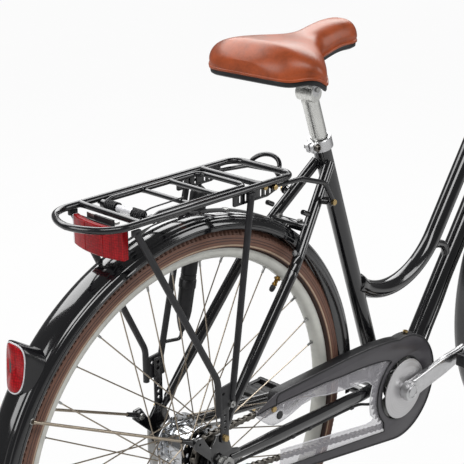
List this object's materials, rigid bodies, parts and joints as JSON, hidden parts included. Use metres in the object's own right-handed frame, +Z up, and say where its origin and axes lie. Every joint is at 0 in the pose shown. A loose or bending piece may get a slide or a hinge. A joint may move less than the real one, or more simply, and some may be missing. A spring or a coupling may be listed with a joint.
{
  "type": "city bicycle",
  "caption": "Black step-through city bicycle on its rear stand, with a padded brown saddle, rear carrier with flap, mudguards, enclosed chain and red tail lamp.",
  "frame": {"origin": "middle of the bicycle's bounding box on the ground", "axes": "+X forward, +Y to the rider's left, +Z up"},
  "size_m": [1.8509, 0.6317, 1.1222],
  "materials": {
    "black_paint": "deep gloss black enamel",
    "black_plastic": "fine satin grain",
    "case_grey": "dark grey, smooth and slightly glossy",
    "satin_aluminium": "satin anodised",
    "zinc_steel": "zinc plated, slightly dull",
    "rim_aluminium": "pale grey, satin, with champagne spokes",
    "tyre_brown": "dull reddish brown rubber",
    "saddle_brown": "glossy chestnut brown with a rolled seam",
    "red_lens": "clear red, glossy",
    "clear_sheet": "clear plastic sheet, glossy",
    "brass": "plain brass stem under a black cap",
    "black_rubber": "matt black"
  },
  "bodies": {
    "frame": {"seat_tube": "black_paint", "top_tube": "black_paint", "down_tube": "black_paint", "head_tube": "black_paint", "chain_stays": "black_paint", "seat_stays": "black_paint", "seat_collar": "satin_aluminium", "bottom_bracket_bearing": "zinc_steel", "rear_axle": "zinc_steel", "rear_mudguard": "black_paint", "rear_guard_rod_left": "black_paint", "rear_guard_rod_right": "black_paint", "tail_lamp_housing": "black_plastic", "tail_lamp_lens": "red_lens", "rack_frame": "black_paint", "rack_legs_left": "black_paint", "rack_legs_right": "black_paint", "rack_strip_left": "black_paint", "rack_strip_right": "black_paint", "rack_reflector": "red_lens", "pump": "black_plastic", "chain": "zinc_steel", "chain_guard": "case_grey", "guard_window": "clear_sheet", "gear_cable": "black_plastic", "gear_cable_loop": "black_plastic"},
    "steering": {"fork": "black_paint", "front_axle": "zinc_steel", "front_mudguard": "black_paint", "stem": "satin_aluminium", "handlebar": "satin_aluminium", "grip_left": "black_rubber", "grip_right": "black_rubber", "brake_cable": "black_plastic"},
    "front_wheel": {"front_tyre": "tyre_brown", "front_rim": "rim_aluminium", "front_hub": "satin_aluminium"},
    "rear_wheel": {"rear_tyre": "tyre_brown", "rear_rim": "rim_aluminium", "rear_hub": "satin_aluminium", "rear_valve": "brass"},
    "crankset": {"crank_right": "satin_aluminium", "crank_left": "satin_aluminium", "chainring": "satin_aluminium", "crank_cover": "satin_aluminium"},
    "right_pedal": {"pedal_right": "black_plastic"},
    "left_pedal": {"pedal_left": "black_plastic"},
    "cog": {"sprocket": "zinc_steel"},
    "kickstand": {"stand": "zinc_steel"},
    "seatpost": {"seat_post": "satin_aluminium"},
    "saddle": {"saddle_cover": "saddle_brown", "saddle_base": "black_plastic", "saddle_clamp": "satin_aluminium"},
    "carrier_flap": {"rack_flap": "black_paint", "flap_spring_left": "black_plastic", "flap_spring_right": "black_plastic"},
    "brake_handle": {"brake_lever": "satin_aluminium"},
    "right_brake_arm": {"brake_arm_right": "black_plastic"},
    "left_brake_arm": {"brake_arm_left": "black_plastic"},
    "shifter": {"twist_shifter": "black_plastic"}
  },
  "joints": [
    {"name": "steering_turn", "type": "hinge", "parent": "frame", "child": "steering", "pos_m": [0.52135, 0, 0.32921], "axis": [-0.3584, 0, 0.9336], "range_deg": [-60, 60], "deforming": ["gear_cable_loop"]},
    {"name": "front_wheel_spin", "type": "hinge", "parent": "steering", "child": "front_wheel", "pos_m": [0.5755, 0, 0.35], "axis": [0, 1, 0], "continuous": true},
    {"name": "rear_wheel_spin", "type": "hinge", "parent": "frame", "child": "rear_wheel", "pos_m": [-0.5525, 0, 0.37], "axis": [0, 1, 0], "continuous": true},
    {"name": "crank_spin", "type": "hinge", "parent": "frame", "child": "crankset", "pos_m": [-0.0768, 0, 0.3136], "axis": [0, 1, 0], "continuous": true},
    {"name": "sprocket_spin", "type": "hinge", "parent": "frame", "child": "cog", "pos_m": [-0.5525, 0, 0.37], "axis": [0, 1, 0], "continuous": true},
    {"name": "right_pedal_spin", "type": "hinge", "parent": "crankset", "child": "right_pedal", "pos_m": [0.09193, -0.079, 0.33432], "axis": [0, 1, 0], "continuous": true},
    {"name": "left_pedal_spin", "type": "hinge", "parent": "crankset", "child": "left_pedal", "pos_m": [-0.24553, 0.079, 0.29288], "axis": [0, 1, 0], "continuous": true},
    {"name": "stand_fold", "type": "hinge", "parent": "frame", "child": "kickstand", "pos_m": [-0.5525, 0, 0.37], "axis": [0, 1, 0], "range_deg": [0, 58]},
    {"name": "seat_height", "type": "slide", "parent": "frame", "child": "seatpost", "axis": [-0.342, 0, 0.9397], "range_m": [-0.06, 0.08]},
    {"name": "saddle_tilt", "type": "hinge", "parent": "seatpost", "child": "saddle", "pos_m": [-0.2827, 0, 0.8793], "axis": [0, 1, 0], "range_deg": [-8, 8]},
    {"name": "flap_lift", "type": "hinge", "parent": "frame", "child": "carrier_flap", "pos_m": [-0.6585, 0, 0.776], "axis": [0, -1, 0], "range_deg": [0, 75], "stiffness_Nm_per_rad": 1.2, "springref_deg": -51.57, "deforming": ["flap_spring_left", "flap_spring_right"]},
    {"name": "brake_pull", "type": "hinge", "parent": "steering", "child": "brake_handle", "pos_m": [0.23268, -0.28362, 1.08055], "axis": [-0.1097, 0.994, 0], "range_deg": [0, 16], "stiffness_Nm_per_rad": 1.5, "springref_deg": -14.32, "deforming": ["brake_cable"]},
    {"name": "right_arm_close", "type": "hinge", "parent": "steering", "child": "right_brake_arm", "pos_m": [0.41312, -0.0455, 0.58327], "axis": [-0.9336, 0, -0.3584], "range_deg": [0, 4.5]},
    {"name": "left_arm_close", "type": "hinge", "parent": "steering", "child": "left_brake_arm", "pos_m": [0.41312, 0.0455, 0.58327], "axis": [0.9336, 0, 0.3584], "range_deg": [0, 4.5]},
    {"name": "gear_twist", "type": "hinge", "parent": "steering", "child": "shifter", "pos_m": [0.08425, -0.3, 1.09539], "axis": [0.9925, 0.1095, 0.0548], "range_deg": [-45, 45]}
  ],
  "couplings": [
    {"joint": "sprocket_spin", "follows": "crank_spin", "ratio": 2},
    {"joint": "right_arm_close", "follows": "brake_pull", "ratio": 0.28},
    {"joint": "left_arm_close", "follows": "brake_pull", "ratio": 0.28}
  ]
}
